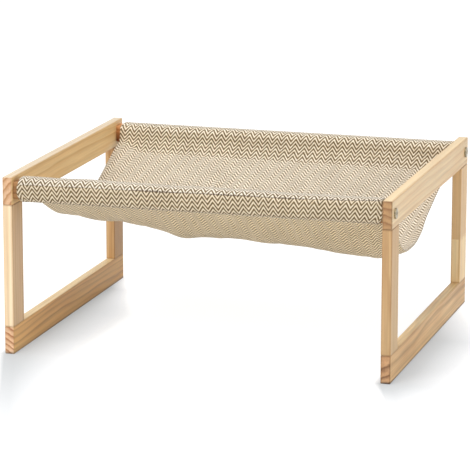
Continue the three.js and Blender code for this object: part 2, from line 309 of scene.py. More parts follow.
# Darker arrises from use, a painted contact shade along the floor, and a painted shade round the
# end grain
ARRIS_TINT, FLOOR_CONTACT_SHADE, END_RIM_SHADE = (0.84, 0.76, 0.66), (0.5, 0.5, 0.5), (0.3, 0.22, 0.12)
USUAL_RIM_SHADE, DEEPER_RIM_SHADE = 0.3, {"right_top_rail": 0.75, "right_bottom_rail": 0.75}


def above_joint(add, place, joint):
    """1 above the fingers of a joint and 0 below them."""
    up, length = add("SeparateXYZ", place).outputs[1:]
    fingers = add("Math PINGPONG", up, FINGER_PITCH / 2)
    line = add("Math MULTIPLY_ADD", fingers, 2 * FINGER_LENGTH / FINGER_PITCH, joint)
    return add("Math GREATER_THAN", length, line)


def wear_and_painted_shade(add, node_name, half, place):
    """Where a board is darker, as pairs of a share and a tint: at its arrises by use, and by a
    painted shade round its end grain and along the floor.
    """
    off_faces = add("VectorMath SUBTRACT", half, add("VectorMath ABSOLUTE", place))
    off_across, off_up, off_end = add("SeparateXYZ", off_faces).outputs
    off_arris = add("Math ADD", off_across, off_up)
    off_rim = add("Math ADD", off_end, add("Math MINIMUM", off_across, off_up))
    # How deep the painted shade round the end grain is
    rim_shade = DEEPER_RIM_SHADE.get(node_name, USUAL_RIM_SHADE)
    tints = [(add("MapRange", off_arris, 0.6, 2.6, 1.0, 0.0), ARRIS_TINT),
             (add("MapRange", off_rim, 0.5, 2.2, rim_shade, 0.0), END_RIM_SHADE)]
    # A painted contact shade where the bottom rails stand on the floor
    if node_name.endswith("bottom_rail"):
        above_floor = add("Math ADD", add("SeparateXYZ", place).outputs[1], half[1])
        tints.append((add("MapRange", above_floor, 1.8, 4.6, 1.0, 0.0), FLOOR_CONTACT_SHADE))
    return tints


def pine(node_name, pith, ring, pale, dark, end_pale, end_dark, seed, painted_inner_shade, painted_top_light_shade):
    """Lacquered pine for one board. Pith and ring are in mm, seen along the board."""
    material, add = new_material("lacquered_pine_" + node_name)
    wander, cloud_tint, streaks = FIGURES.get(node_name, USUAL_FIGURE)
    low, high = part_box(node_name)
    middle, half = (low + high) / 2, (high - low) / 2 / MM
    in_mm = add("VectorMath SUBTRACT", add("TexCoord").outputs["Object"], middle)
    in_mm = add("VectorMath MULTIPLY", in_mm, (1000, 1000, 1000))
    x, y, z = add("SeparateXYZ", in_mm).outputs
    normal_x, normal_y, normal_z = add(
        "SeparateXYZ", add("NewGeometry").outputs["Normal"]).outputs
    # Across the board, up it and along it
    if node_name.endswith("post"):
        place, to_end = add("CombineXYZ", x, y, z), normal_z
    else:
        place, half, to_end = add("CombineXYZ", x, z, y), half.xzy, normal_y
    tints = wear_and_painted_shade(add, node_name, half, place)
    if node_name in JOINTS:
        upper = above_joint(add, place, JOINTS[node_name])
        place = add("VectorMath ADD", place, add("VectorMath SCALE", OTHER_GRAIN, upper))
        tints.append((upper, OTHER_TONE))

    # Some years leave a faint ring. The top face was sanded most, and is the plainest
    tone, vigour = growth_rings(add, place, pith, ring, wander, seed)
    upward = add("MapRange", normal_z, 0.5, 0.9)
    strength = add("Math MULTIPLY", add("MapRange", vigour, 0, 1, 0.15, 1.0),
                   add("MapRange", upward, 0, 1, 1.0, 0.3))
    lateness = add("Math MULTIPLY", tone, strength)

    # The face towards the bed is tinted by a painted shade, and the top face by a painted tint of
    # light and shade
    to_bed = add("Math MULTIPLY", normal_x, -1 if middle.x > 0 else 1)
    tints += [(add("MapRange", to_bed, 0.5, 0.9), painted_inner_shade), (upward, painted_top_light_shade)]

    # Fibres a third of a millimetre wide and some centimetres long, streaks, and clouds of tone
    fibre = clouds(add, place, (1.6, 1.6, 0.03), 3.0, 0.6, W=seed)
    streak = clouds(add, place, (0.3, 0.3, 0.006), 2.0, W=seed + 3.1)
    cloud = clouds(add, place, (0.04, 0.04, 0.009), 1.0, W=seed + 7.7)
    tints.append((add("MapRange", cloud, 0.3, 0.7), cloud_tint))

    # End grain soaks up more lacquer, so it is deeper in colour
    at_end = add("MapRange", add("Math ABSOLUTE", to_end), 0.75, 0.95)
    wood = add("Mix RGBA", at_end, add("Mix RGBA", lateness, colour(pale), colour(dark)),
               add("Mix RGBA", tone, colour(end_pale), colour(end_dark)))
    bright = add("Math MULTIPLY", add("MapRange", fibre, 0.3, 0.7, 0.93, 1.06),
                 add("MapRange", streak, 0.3, 0.7, 1 - streaks, 1 + 0.8 * streaks))
    wood = add("VectorMath MULTIPLY", wood, bright)
    for share, tint in tints:
        wood = tinted(add, wood, share, tint)
    end_with(add, add("Math MULTIPLY_ADD", lateness, 0.5, fibre), 0.0001, 0.35,
             Base_Color=wood, Roughness=add("MapRange", fibre, 0.3, 0.7, 0.44, 0.58),
             IOR=1.5, Coat_Weight=0.12, Coat_Roughness=0.35)
    return material


print("one function finishes all eight boards")

# %% [markdown]
# A board is sawn to size, then its arrises are eased with sandpaper, and it
# is drilled for the wooden pins that hold the frame and for the bolts. The
# same steps are followed here: a cube at the board's size and place, a bevel
# on the edges, and bores cut by round bars.

# %% Saw, ease and drill
ARRIS = 1.5 * MM
POST_END_EASE = 0.35 * MM


def only(piece):
    """Leaves one object selected and active."""
    bpy.ops.object.select_all(action="DESELECT")
    piece.select_set(True)
    bpy.context.view_layer.objects.active = piece


def pick(piece, kind, test):
    """Selects the edges whose ends, or the faces whose normals, pass the test, for editing."""
    only(piece)
    bpy.ops.object.mode_set(mode="EDIT")
    bpy.ops.mesh.select_mode(type=kind)
    bpy.ops.mesh.select_all(action="DESELECT")
    bpy.ops.object.mode_set(mode="OBJECT")
    points = piece.data.vertices
    if kind == "EDGE":
        for edge in piece.data.edges:
            edge.select = test(*(points[i].co for i in edge.vertices))
    else:
        for face in piece.data.polygons:
            face.select = test(face.normal)
    bpy.ops.object.mode_set(mode="EDIT")


def bevel(piece, test, offset, segments):
    """Rounds the edges whose ends pass the test."""
    pick(piece, "EDGE", test)
    bpy.ops.mesh.bevel(offset=offset, segments=segments, affect="EDGES")
    bpy.ops.object.mode_set(mode="OBJECT")


def cut(piece, cutter):
    """Cuts the shape of one object out of another, and removes the first."""
    only(piece)
    boolean = piece.modifiers.new("cut", "BOOLEAN")
    boolean.operation = "DIFFERENCE"
    boolean.object = cutter
    bpy.ops.object.modifier_apply(modifier=boolean.name)
    bpy.data.objects.remove(cutter)


def saw_board(node_name):
    """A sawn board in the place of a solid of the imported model."""
    low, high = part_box(node_name)
    bpy.ops.mesh.primitive_cube_add(size=1, location=(low + high) / 2, scale=high - low)
    board = bpy.context.object
    board.name = node_name + "_board"
    bpy.ops.object.transform_apply(location=True, rotation=True, scale=True)
    return board


def ease(board, low, high, along_only):
    """Rounds the arrises. A post is eased along its length, and hardly at its ends."""
    bevel(board, lambda a, b: not along_only or abs(a.z - b.z) > 2 * ARRIS, ARRIS, 4)
    if along_only:
        bevel(board, lambda a, b: abs(a.z - b.z) < ARRIS / 10
              and min(a.z - low.z, high.z - a.z) < ARRIS / 10, POST_END_EASE, 2)


def drill(board, bores):
    """Cuts round bores. Each is (centre, axis, radius, length)."""
    bars = []
    for centre, axis, radius, length in bores:
        bpy.ops.mesh.primitive_cylinder_add(
            vertices=32, radius=radius, depth=length, location=centre,
            rotation=(0, math.pi / 2, 0) if axis == "X" else (0, 0, 0))
        bars.append(bpy.context.object)
    for bar in bars:
        bar.select_set(True)
    bpy.context.view_layer.objects.active = bars[0]
    bpy.ops.object.join()
    cut(board, bpy.context.object)


def finish(piece, material):
    """Gives a piece one material all over."""
    piece.data.materials.clear()
    piece.data.materials.append(material)


def hand_over(piece, node_name, material):
    """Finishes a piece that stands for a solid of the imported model."""
    finish(piece, material)
    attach(piece, "root")
    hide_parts(node_name)


print("arris radius in mm:", ARRIS / MM)

# %% Make the eight boards
PIN_BORE, BOLT_BORE = 3.3 * MM, 3.5 * MM
PIN_BORE_IN_RAIL, PIN_BORE_IN_POST = 13.3 * MM, 16.3 * MM
BOLT_BORE_LENGTH = 40 * MM
BOARDS = {
    # name: pith, ring, pale, dark, end pale, end dark, seed, painted shade of the inner face,
    # painted light and shade of the top face
    "left_top_rail": ((52, -36), 8.5, "#eacfa9", "#d4b082", "#dfba95", "#b4804f", 1.3,
        (1.04, 1.0, 0.79), (0.82, 0.9, 1.01)),
    "left_bottom_rail": ((-26, -42), 7.5, "#e6c38c", "#bc955e", "#ecc8a4", "#b07446", 4.1,
        (0.94, 0.82, 0.58), (1.13, 1.32, 1.68)),
    "left_front_post": ((-40, 60), 6.0, "#f4debd", "#ddbd8e", "#e0b98c", "#b98252", 2.6,
        (0.7, 0.61, 0.51), (1, 1, 1)),
    "left_rear_post": ((30, 70), 6.0, "#e1bc89", "#cb9c64", "#e0b98c", "#b98252", 6.4,
        (0.7, 0.59, 0.41), (1, 1, 1)),
    "right_top_rail": ((-11, -74), 9.5, "#ead0a5", "#d9b586", "#b89062", "#90663d", 8.2,
        (0.9, 0.85, 0.8), (0.94, 0.97, 1.0)),
    "right_bottom_rail": ((42, -56), 13.0, "#e6bf86", "#a4773f", "#d2a67a", "#825b37", 5.7,
        (0.9, 0.85, 0.8), (1.2, 1.4, 1.75)),
    "right_front_post": ((-9, 55), 5.5, "#d0b182", "#b38d60", "#d0a070", "#a06c40", 9.9,
        (0.9, 0.85, 0.8), (1, 1, 1)),
    "right_rear_post": ((12, -60), 5.5, "#fce3b3", "#e5bf88", "#d0a070", "#a06c40", 3.2,
        (0.9, 0.85, 0.8), (1, 1, 1)),
}
for node_name, look in BOARDS.items():
    side, level, kind = node_name.split("_")
    low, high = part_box(node_name)
    if kind == "post":
        joints, depth = (f"{level}_lower", f"{level}_upper"), PIN_BORE_IN_POST
    else:
        height = "upper" if level == "top" else "lower"
        joints, depth = (f"front_{height}", f"rear_{height}"), PIN_BORE_IN_RAIL
    bores = []
    for joint in joints:
        for letter in "ab":
            pin_low, pin_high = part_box(f"{side}_{joint}_pin_{letter}")
            centre = (pin_low + pin_high) / 2
            # A pin enters a board from the end or edge that is nearer to it
            centre.z = min(low.z, high.z, key=lambda z: abs(z - centre.z))
            bores.append((centre, "Z", PIN_BORE, 2 * depth))
    if level == "top":
        for end in ("front", "rear"):
            bolt_low, bolt_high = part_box(f"{side}_{end}_bolt")
            centre = (bolt_low + bolt_high) / 2
            centre.x = (low.x + high.x) / 2
            bores.append((centre, "X", BOLT_BORE, BOLT_BORE_LENGTH))
    board = saw_board(node_name)
    ease(board, low, high, along_only=kind == "post")
    drill(board, bores)
    # Smooth arrises between flat faces
    bpy.ops.object.shade_smooth_by_angle(angle=math.radians(40))
    flatten = board.modifiers.new("flat faces", "WEIGHTED_NORMAL")
    flatten.keep_sharp = True
    bpy.ops.object.modifier_apply(modifier=flatten.name)
    hand_over(board, node_name, pine(node_name, *look))
print("boards:", len(BOARDS))

# %% [markdown]
# The crossbars are square hardwood bars, planed and left without lacquer
# because the cloth hides them. Only a few millimetres show at the left. The
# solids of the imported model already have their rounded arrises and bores, so
# they stay and only get their wood. The same goes for the beech pins in the
# joints and the zinc-plated threaded inserts, which are hidden inside.


# %% Bare hardwood and beech
def bare_wood(name, stretch, pale, dark, line, heights=(0, 1), tints=((1, 1, 1), (1, 1, 1))):
    """Fine-grained wood without lacquer. Line is the width of its grain in mm.

    Between two heights, in m, its tone goes from the first tint to the second."""
    material, add = new_material(name)
    place = add("TexCoord").outputs["Object"]
    grain = clouds(add, place, [length / line for length in stretch], 4.0)
    bands = clouds(add, place, [length / line / 7 for length in stretch], 1.0)
    mixed = add("MapRange", add("Math ADD", grain, bands), 0.7, 1.3)
    wood = add("ValToRGB", mixed, stops=[(0.0, colour(dark)), (1.0, colour(pale))])
    level = add("MapRange", add("SeparateXYZ", place).outputs[2], *heights)
    tint = add("Mix RGBA", level, *((*tint, 1) for tint in tints))
    end_with(add, grain, 0.0001, 0.5, Roughness=0.68, IOR=1.5,
             Base_Color=add("VectorMath MULTIPLY", wood, tint))
    return material


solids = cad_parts
LONG_IN_X, LONG_IN_Z = (30, 1000, 1000), (1000, 1000, 30)
rear_low, rear_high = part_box("rear_crossbar")
finish(solids["front_crossbar"], bare_wood(
    "bare_hardwood_front", LONG_IN_X, "#af8150", "#81582f", 1.2))
# The rear bar is painted darker towards its lower edge and lighter towards its top, a painted
# shade below and a painted light above
finish(solids["rear_crossbar"], bare_wood(
    "bare_hardwood_rear", LONG_IN_X, "#af8150", "#81582f", 1.2,
    (rear_low.z + 3 * MM, rear_high.z - 5 * MM), ((0.76, 0.45, 0.26), (1.8, 1.62, 1.55))))
pin_beech = bare_wood("turned_beech", LONG_IN_Z, "#e3c39a", "#c79c6c", 0.8)
pins = [node_name for node_name in solids if "_pin_" in node_name]
for node_name in pins:
    finish(solids[node_name], pin_beech)
print("wooden solids finished:", len(pins) + 2)

# %% [markdown]
# The bolts are steel with a bright nickel plate: a flat round head with a hexagon socket. Its
# colour is tinted warm and dark, a painted reflection of the wood round it. The head was turned,
# so very fine circles run round it, and they stretch its highlights. The inserts have a yellowish
# zinc plate.


# %% Plated steel
def plated_steel(name, tone, cloudy, rough):
    """Turned and plated steel, with fine circles round the X axis in the piece's UV."""
    material, add = new_material(name)
    place = add("TexCoord").outputs
    turned = clouds(add, place["UV"], (6000, 40, 1), 2.0)
    cloud = add("TexNoise", place["Object"], Scale=260.0, Detail=3.0)
    plate = add("ValToRGB", cloud, stops=[(0.35, colour(cloudy)), (0.65, colour(tone))])
    end_with(add, turned, 0.00002, 0.4, Base_Color=plate, Metallic=1.0,
             Roughness=add("MapRange", turned, 0.3, 0.7, rough - 0.05, rough + 0.07))
    return material


# The nickel's warm, dark tone is a painted reflection of the wood round it
nickel = plated_steel("nickel_plated_steel", "#a99d83", "#857a63", 0.26)
zinc = plated_steel("yellow_zinc_plated_steel", "#cbbd86", "#ab9c66", 0.32)
for node_name in solids:
    if node_name.endswith("_insert"):
        finish(solids[node_name], zinc)
print("plated finishes:", nickel.name, zinc.name)

# %% [markdown]
# One bolt is modelled and copied. It starts as a flat round bar, the size of
# the head. The edge of the head is bevelled, its underside is inset to the
# width of the shank, and the shank is extruded. The socket is cut with a
# hexagonal bar, and each copy is moved to its own place.

# %% Model a bolt
HEAD_RADIUS, HEAD_HEIGHT, HEAD_ROUNDING = 7.5 * MM, 2.4 * MM, 0.8 * MM
SHANK_RADIUS, BOLT_LENGTH, POINT_BEVEL = 3.0 * MM, 50 * MM, 0.7 * MM
SOCKET_FLATS, SOCKET_DEPTH, SOCKET_BEVEL = 5.0 * MM, 1.7 * MM, 0.2 * MM

bpy.ops.mesh.primitive_cylinder_add(
    vertices=64, radius=HEAD_RADIUS, depth=HEAD_HEIGHT, location=(0, 0, HEAD_HEIGHT / 2))
bolt = bpy.context.object
bpy.ops.object.transform_apply(location=True, rotation=True, scale=True)
bevel(bolt, lambda a, b: min(a.z, b.z) > HEAD_HEIGHT * 0.9, HEAD_ROUNDING, 4)
pick(bolt, "FACE", lambda normal: normal.z < -0.9)
bpy.ops.mesh.inset(thickness=HEAD_RADIUS - SHANK_RADIUS)
bpy.ops.mesh.extrude_region_move(TRANSFORM_OT_translate={"value": (0, 0, -BOLT_LENGTH)})
bpy.ops.object.mode_set(mode="OBJECT")
bevel(bolt, lambda a, b: max(a.z, b.z) < -BOLT_LENGTH * 0.99, POINT_BEVEL, 1)

bpy.ops.mesh.primitive_cylinder_add(
    vertices=6, radius=SOCKET_FLATS / math.sqrt(3), depth=2 * SOCKET_DEPTH,
    location=(0, 0, HEAD_HEIGHT))
cut(bolt, bpy.context.object)
bevel(bolt, lambda a, b: min(a.z, b.z) > HEAD_HEIGHT * 0.99
      and max(a.xy.length, b.xy.length) < SOCKET_FLATS * 0.7, SOCKET_BEVEL, 2)
bpy.ops.object.shade_smooth_by_angle(angle=math.radians(40))
# The coordinates that the turned circles follow: off the axis, and round it
uv = (bolt.data.uv_layers or [bolt.data.uv_layers.new(name="UVMap")])[0]
for loop in bolt.data.loops:
    point = bolt.data.vertices[loop.vertex_index].co
    uv.data[loop.index].uv = (point.xy.length, math.atan2(point.y, point.x) / math.tau)
print("faces on a bolt:", len(bolt.data.polygons))

# %% Put a bolt in each top rail
for side, outward in (("left", -1), ("right", 1)):
    for end in ("front", "rear"):
        node_name = f"{side}_{end}_bolt"
        low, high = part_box(node_name)
        middle = (low + high) / 2
        piece = bpy.data.objects.new(node_name + "_turned", bolt.data.copy())
        bpy.context.scene.collection.objects.link(piece)
        seat = solids[f"{side}_top_rail"].data.vertices
        seat_x = max(outward * v.co.x for v in seat) * outward
        lay = Matrix.Rotation(outward * math.pi / 2, 4, "Y")
        piece.data.transform(Matrix.Translation((seat_x, middle.y, middle.z)) @ lay)
        hand_over(piece, node_name, nickel)
bpy.data.objects.remove(bolt)
print("bolts at y =", round(middle.y / MM, 1), "mm")

# %% [markdown]
# The sling is two layers of woven cloth, sewn together along the top outer
# edge of each bar and down both free sides, then turned out like a pillow
# case. A line of stitching beside each bar closes a tunnel that the bar runs
# through. Between the bars both layers hang as one cloth: less deep at the
# left than at the right, steeper behind than in front, with a few soft
# folds. These are the sizes and the curve of that sag, in millimetres.

# %% Sizes of the sling
CLOTH_LEFT, CLOTH_RIGHT = -259.0, 265.2
CLOTH_WIDTH = CLOTH_RIGHT - CLOTH_LEFT
LAYER, LAYER_GAP = 1.5, 0.02
BAR_Y, BAR_Z = 223.0, 235.0
TUNNEL_HALF, TUNNEL_ROUNDING, TUNNEL_FULLNESS = 15.9, 10.0, 3.4
# How the fullness of the front tunnel varies along X: size, length of wave / 2 pi, start
FULLNESS_WAVES = [(0.12, 31, 0), (0.1, 13, 1)]
REAR_SETTLE, FRONT_LIFT = 1.4, 1.1
# The front seam rolls over the corner: place along X, and how far down it lies
SEAM_ROLL = [(-259, 4.2), (-21, 1.5), (98, 0.5), (157, -0.5), (213, -2.4), (265, -4.3)]
EXIT_Y, EXIT_Z = 205.1, 223.0
SAG_DEPTH = 90.0
SAG_SHARES = [
    (0, 0.62), (0.1, 0.675), (0.18, 0.678), (0.29, 0.765), (0.34, 0.812), (0.39, 0.84),
    (0.43, 0.835), (0.49, 0.815), (0.55, 0.812), (0.62, 0.83), (0.7, 0.848), (0.77, 0.865),
    (0.82, 0.885), (0.88, 0.935), (0.93, 0.945), (0.97, 0.87), (1, 0.785)]
# The rest is at the left and at the right: where the lowest line lies, how flat the curve
# starts beside it, and how much the curve bends like an S
LOW_LINE = (12.0, -48.0)
FRONT_FLAT, FRONT_BEND = (0.3, 0.3), (0.75, 0.6)
REAR_FLAT, REAR_BEND = (0.16, 0.07), (0.3, 0.05)
SOFT_SHARE = 0.1
REAR_HANG, HANG_RUN, HANG_FADE, HANG_EASE = 12.0, 5.0, 190.0, 45.0
# Folds across the cloth: place, half width and depth
FOLDS = [(0.365, 0.035, 5.0), (0.13, 0.04, 2.25), (0.6, 0.05, 2.0), (0.81, 0.04, 2.75)]
# Pulled lines: place at the front bar, at the rear bar, half width, height
PULLS = [
    (0.04, 0.10, 0.012, 1.3), (0.17, 0.22, 0.016, 1.1), (0.27, 0.24, 0.014, 1.0),
    (0.46, 0.50, 0.016, -1.2), (0.66, 0.61, 0.014, 1.0), (0.74, 0.80, 0.018, -1.1),
    (0.88, 0.93, 0.014, 1.3), (0.955, 0.90, 0.012, 1.1)]
# Puckers beside the stitching of a tunnel: height, and distance to the highest place
PUCKER, PUCKER_REACH = 0.5, 9


# %% The curve of the sag
def between(pair, share):
    return pair[0] + (pair[1] - pair[0]) * share


def smooth_step(value, start=0.0, end=1.0):
    """From 0 at the start to 1 at the end, softly."""
    value = np.clip((value - start) / (end - start), 0, 1)
    return value * value * (3 - 2 * value)


def hump(distance, width):
    return np.exp(-((distance / width) ** 2))


fine_shares = np.linspace(-0.1, 1.1, 481)
rough_depths = np.interp(fine_shares, *zip(*SAG_SHARES))
bell = hump(np.linspace(-2.5, 2.5, 21), 1)
fine_depths = np.convolve(np.pad(rough_depths, 10, mode="edge"), bell / bell.sum(), "valid")


def rise(u, flat, bend):
    """One side of the sag, from 0 at the low line to 1 at the bar."""
    def soft(v):
        return (v - flat + np.sqrt((v - flat) ** 2 + SOFT_SHARE ** 2)) / 2
    v = (soft(u) - soft(0)) / (soft(1) - soft(0))
    return (1 - bend) * v + bend * smooth_step(v)


def sag_height(share, y):
    """Where the two layers of the sling touch, at a share along X and a place in Y."""
    low_line = between(LOW_LINE, share)
    is_rear = y > low_line
    u = np.abs(y - low_line) / np.where(is_rear, EXIT_Y - low_line, low_line + EXIT_Y)
    flat, bend = (np.where(is_rear, between(rear, share), between(front, share))
                  for rear, front in ((REAR_FLAT, FRONT_FLAT), (REAR_BEND, FRONT_BEND)))
    depth = SAG_DEPTH * np.interp(share, fine_shares, fine_depths)
    z = EXIT_Z - depth * (1 - rise(u, flat, bend))
    for place, width, size in FOLDS:
        z -= size * hump(share - place, width) * (1 - u * u)
    # Behind, away from the hems, the cloth first hangs straight down from its bar
    inwards = EXIT_Y - y
    hang = REAR_HANG * smooth_step(min(share, 1 - share) * CLOTH_WIDTH, 0, HANG_EASE)
    z -= hang * np.clip(inwards / HANG_RUN, 0, 1) * smooth_step(
        inwards, HANG_RUN + HANG_FADE, HANG_RUN)
    across = (y + EXIT_Y) / (2 * EXIT_Y)
    middle = np.sin(np.pi * np.clip(across, 0, 1))
    for front, rear, width, size in PULLS:
        z += size * hump(share - between((front, rear), across), width) * middle
    x = between((CLOTH_LEFT, CLOTH_RIGHT), share)
    for off_tunnel, start in ((EXIT_Y + y, 0.0), (EXIT_Y - y, 2.1)):
        off_tunnel = np.clip(off_tunnel, 0, None) / PUCKER_REACH
        wave = np.sin(x / 3.7 + start + 1.6 * np.sin(x / 19 + start))
        z += PUCKER * wave * off_tunnel * np.exp(1 - off_tunnel)
    return z


print("lowest place in mm:", round(float(sag_height(0.92, np.array([-40.0]))[0]), 1))

# %% [markdown]
# Each layer is a grid of points: stations along the bed, and at each station
# a path across it, from the seam over the front bar to the seam over the rear
# bar. The upper layer goes over the bars, the lower one goes under them. The
# path is rounded by averaging neighbouring points, as thick cloth does, and
# the rows are closer where the hems and the stitching are.

# %% The path of a layer at one station
TUNNEL_STEP = 0.25
SAG_POINTS = 206


def arc(y, z, start, end):
    """Points on a round corner of a tunnel, in the middle of the layer."""
    radius = TUNNEL_ROUNDING - LAYER / 2
    turns = np.radians(np.linspace(start, end, 9))
    return [(y + radius * math.cos(t), z + radius * math.sin(t)) for t in turns]


def path_lengths(path):
    """The distance along a path at each of its points."""
    return np.concatenate([[0], np.cumsum(np.linalg.norm(np.diff(path, axis=0), axis=1))])


def at_places(values, lengths, places):
    """Each column of values, read at places between the lengths that they are given for."""
    return np.stack([np.interp(places, lengths, column) for column in values.T], axis=-1)


def even_out(path, step=1.0):
    """The same path with evenly spaced points."""
    lengths = path_lengths(path)
    return at_places(path, lengths, np.linspace(0, lengths[-1], int(lengths[-1] / step) + 1))


def tunnel_path(upper, fullness, roll=0.0, lift=0.0):
    """From the seam round the bar to the stitching, as seen with the sag to the right."""
    flat = TUNNEL_HALF - TUNNEL_ROUNDING
    side = TUNNEL_HALF - LAYER / 2
    over = [(side, -flat)] + arc(flat, flat, 0, 90) + arc(-flat, flat, 90, 135)
    under = arc(-flat, flat, 135, 180) + arc(-flat, -flat, 180, 270) + [(flat, -side)]
    whole = even_out(np.array(over + under[1:]), TUNNEL_STEP)
    seam = int(round((path_lengths(np.array(over))[-1] + roll) / TUNNEL_STEP))
    points = whole[seam::-1] if upper else whole[seam:]
    return [(y, z + fullness * (max(z, 0) / TUNNEL_HALF) ** 2
             + lift * (max(-z, 0) / TUNNEL_HALF) ** 4) for y, z in points]


def soften(path, width=2.0):
    """A path of even points, averaged with its neighbours. Its ends stay."""
    reach = int(3 * width)
    weights = np.exp(-(np.arange(-reach, reach + 1) / width) ** 2 / 2)
    weights /= weights.sum()
    longer = np.concatenate([2 * path[0] - path[reach:0:-1], path,
                             2 * path[-1] - path[-2:-reach - 2:-1]])
    return np.stack([np.convolve(column, weights, "valid") for column in longer.T], axis=1)


def layer_path(share, upper):
    """The middle of one layer across the bed, as rows of (y, z)."""
    x = between((CLOTH_LEFT, CLOTH_RIGHT), share)
    full = TUNNEL_FULLNESS * (
        1 + sum(size * math.sin(x / wave + start) for size, wave, start in FULLNESS_WAVES))
    roll = np.interp(x, *zip(*SEAM_ROLL))
    front = [(y - BAR_Y, z + BAR_Z)
             for y, z in tunnel_path(upper, full, roll, FRONT_LIFT * share)]
    rear = [(BAR_Y - y, z + BAR_Z) for y, z in tunnel_path(upper, -REAR_SETTLE * share)]
    y = np.linspace(-EXIT_Y, EXIT_Y, SAG_POINTS)
    z = sag_height(share, y)
    slope = np.gradient(z, y)
    shift = (1 if upper else -1) * (LAYER / 2 + LAYER_GAP) / np.sqrt(1 + slope ** 2)
    middle = np.stack([y - slope * shift, z + shift], axis=1)
    return even_out(soften(even_out(np.concatenate([front, middle, rear[::-1]]))))


for upper in (True, False):
    print("upper" if upper else "lower", "layer across in mm:",
          round(path_lengths(layer_path(0.5, upper))[-1], 1))

# %% Rows and stations, closer together at hems and stitching
EDGE_STEPS = [0, 0.35, 0.8, 1.4, 2.2, 3.4, 4.6, 5.4, 5.9, 6.5, 7.1, 7.7, 8.6, 9.6, 10.8, 12.5]
SEAM_STEPS = [0, 0.35, 0.8, 1.4, 2.2, 3.2, 4.5, 6, 8, 10.5, 13, 15.5, 18, 21, 24, 27, 30, 33, 36]
SPACES_BETWEEN = 103


def closer_at_ends(length, steps, start, count):
    """Distances along a length: the steps at both ends, and even ones between them."""
    steps = np.array(steps, float)
    return np.concatenate([steps, np.linspace(start, length - start, count), length - steps[::-1]])


def row_places(length):
    """Distances across the cloth: the steps at both seams, and even spaces between them."""
    space = (length - 2 * SEAM_STEPS[-1]) / SPACES_BETWEEN
    return closer_at_ends(length, SEAM_STEPS, SEAM_STEPS[-1] + space, SPACES_BETWEEN - 1)


stations = closer_at_ends(CLOTH_WIDTH, EDGE_STEPS, 15.5, 126)
print("stations:", len(stations), "rows:", len(row_places(500.0)))

# %% [markdown]
# A hem is the cloth turned in along a free side, so it is a little thicker,
# and the stitching presses a groove in it. At a seam the cloth turns inwards.
# Both are small moves of the points along the way the surface faces. Last,
# the layer gets its thickness, with a rounded edge all round.

# %% Make a layer
# How far the weight in the sling draws its free sides inwards, and over what width
LEFT_PULL, RIGHT_PULL, PULL_WIDTH = 2.2, 3.0, 60
# How far the ends of a tunnel are drawn in, under the bar and above it, and over what width
DRAW_UNDER, DRAW_ABOVE, DRAW_WIDTH = 4.5, 2.0, 16
# A hem rises, and its stitching makes a groove: how far in the tunnels, and in the sag
HEM_WIDTH, HEM_STITCH = 9.5, 6.5
HEM_RISE, HEM_GROOVE, GROOVE_HALF = (0.2, 0.55), (0.12, 0.32), 0.8
# How far the cloth turns inwards at a free side and at a seam, and over what width
SIDE_TURN, SIDE_TURN_WIDTH, SEAM_TURN, SEAM_TURN_WIDTH = 0.5, 1.8, 1.1, 2.6


def layer_grid(upper):
    """Points, outward directions and flat cloth coordinates of one layer, and its length."""
    paths = [layer_path(d / CLOTH_WIDTH, upper) for d in stations]
    lengths = [path_lengths(path)[-1] for path in paths]
    usual = float(np.mean(lengths))
    points, flat_places = [], []
    for d, path, length in zip(stations, paths, lengths):
        row = at_places(path, np.linspace(0, length, len(path)), row_places(length))
        points.append(np.insert(row, 0, CLOTH_LEFT + d, axis=1))
        flat_places.append(np.insert(row_places(usual)[:, None], 0, d, axis=1))
    points = np.array(points)
    facing = np.cross(np.gradient(points, axis=0), np.gradient(points, axis=1))
    facing /= np.linalg.norm(facing, axis=2, keepdims=True)
    return points, facing if upper else -facing, np.array(flat_places), usual


def shape_hems(points, facing, flat_places, usual):
    """Hems at the free sides, and the turn inwards at the seams."""
    from_side = np.minimum(flat_places[..., 0], CLOTH_WIDTH - flat_places[..., 0])
    from_seam = np.minimum(flat_places[..., 1], usual - flat_places[..., 1])
    in_sag = smooth_step(from_seam, 39, 49)
    ridge = smooth_step(from_side, 0, SIDE_TURN_WIDTH) * smooth_step(
        from_side, HEM_WIDTH + 1.5, HEM_WIDTH - 1)
    move = ridge * between(HEM_RISE, in_sag)
    move -= hump(from_side - HEM_STITCH, GROOVE_HALF) * between(HEM_GROOVE, in_sag)
    move -= SIDE_TURN * (1 - in_sag) * np.clip(1 - from_side / SIDE_TURN_WIDTH, 0, 1) ** 2
    move -= SEAM_TURN * np.clip(1 - from_seam / SEAM_TURN_WIDTH, 0, 1) ** 2
    return points + facing * move[..., None]


def draw_in_sides(points, flat_places):
    """Draws the free sides inwards, most behind the middle, and the ends of the tunnels."""
    points = points.copy()
    y = points[..., 1]
    right = RIGHT_PULL * smooth_step(y, -5, 55) * smooth_step(y, EXIT_Y - 15, EXIT_Y - 90)
    left = LEFT_PULL * smooth_step(y, -EXIT_Y, 150 - EXIT_Y) * smooth_step(
        y, EXIT_Y, EXIT_Y - 110)
    # The ends of a tunnel close round the bar, as the corners of a pillow case do
    level = (points[..., 2] - BAR_Z) / TUNNEL_HALF
    draw = DRAW_UNDER * smooth_step(level, -0.15, -1) + DRAW_ABOVE * smooth_step(level, 0.35, 1)
    draw *= smooth_step(np.abs(y), EXIT_Y + 2, EXIT_Y + 14)
    from_left, from_right = flat_places[..., 0], CLOTH_WIDTH - flat_places[..., 0]
    for pull, distance, width in ((-right, from_right, PULL_WIDTH), (left, from_left, PULL_WIDTH),
                                  (-draw, from_right, DRAW_WIDTH), (draw, from_left, DRAW_WIDTH)):
        points[..., 0] += pull * hump(distance, width)
    return points


